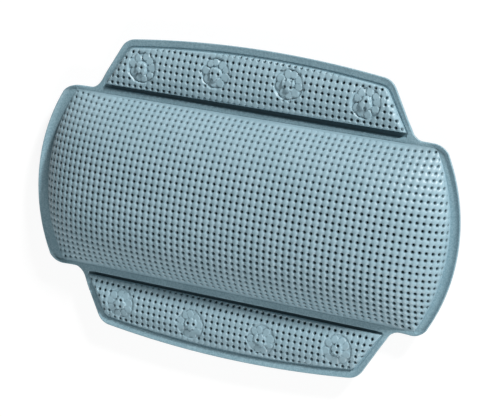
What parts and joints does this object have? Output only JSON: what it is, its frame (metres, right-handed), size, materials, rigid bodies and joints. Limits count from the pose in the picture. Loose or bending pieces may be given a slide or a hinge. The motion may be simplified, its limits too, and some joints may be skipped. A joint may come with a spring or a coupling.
{
  "type": "bath pillow",
  "caption": "Bath pillow: a domed foam bolster in embossed vinyl, with a padded flap along each long side that folds on a weld channel and carries suction cups on its back.",
  "frame": {"origin": "bottom centre of the part lying on its back: the plane of the suction-cup rims and of the flat of the bolster's back, under the middle of the pillow", "axes": "+X along the bolster, +Y across it towards the upper flap, +Z out of the front, up from the surface the pillow lies on"},
  "size_m": [0.356, 0.2466, 0.042],
  "materials": {
    "front_vinyl": "soft foamed vinyl, basket-weave embossed, satin",
    "back_vinyl": "plain smooth vinyl sheet, satin",
    "foam": "open-cell polyurethane foam",
    "cup": "moulded soft PVC, glossy"
  },
  "bodies": {
    "bolster": {"bolster_front_cover": "front_vinyl", "bolster_back_cover": "back_vinyl", "bolster_foam_core": "foam"},
    "upper_flap": {"upper_flap_front_cover": "front_vinyl", "upper_flap_back_cover": "back_vinyl", "upper_flap_foam_pad": "foam", "upper_suction_cup_1": "cup", "upper_suction_cup_2": "cup", "upper_suction_cup_3": "cup", "upper_suction_cup_4": "cup"},
    "lower_flap": {"lower_flap_front_cover": "front_vinyl", "lower_flap_back_cover": "back_vinyl", "lower_flap_foam_pad": "foam", "lower_suction_cup_1": "cup", "lower_suction_cup_2": "cup", "lower_suction_cup_3": "cup", "lower_suction_cup_4": "cup"}
  },
  "joints": [
    {"name": "upper_flap_fold", "type": "hinge", "parent": "bolster", "child": "upper_flap", "pos_m": [0, 0.0743, 0.0097], "axis": [1, 0, 0], "range_deg": [-90, 55], "stiffness_Nm_per_rad": 0.1},
    {"name": "lower_flap_fold", "type": "hinge", "parent": "bolster", "child": "lower_flap", "pos_m": [0, -0.0743, 0.0097], "axis": [-1, 0, 0], "range_deg": [-90, 55], "stiffness_Nm_per_rad": 0.1}
  ]
}
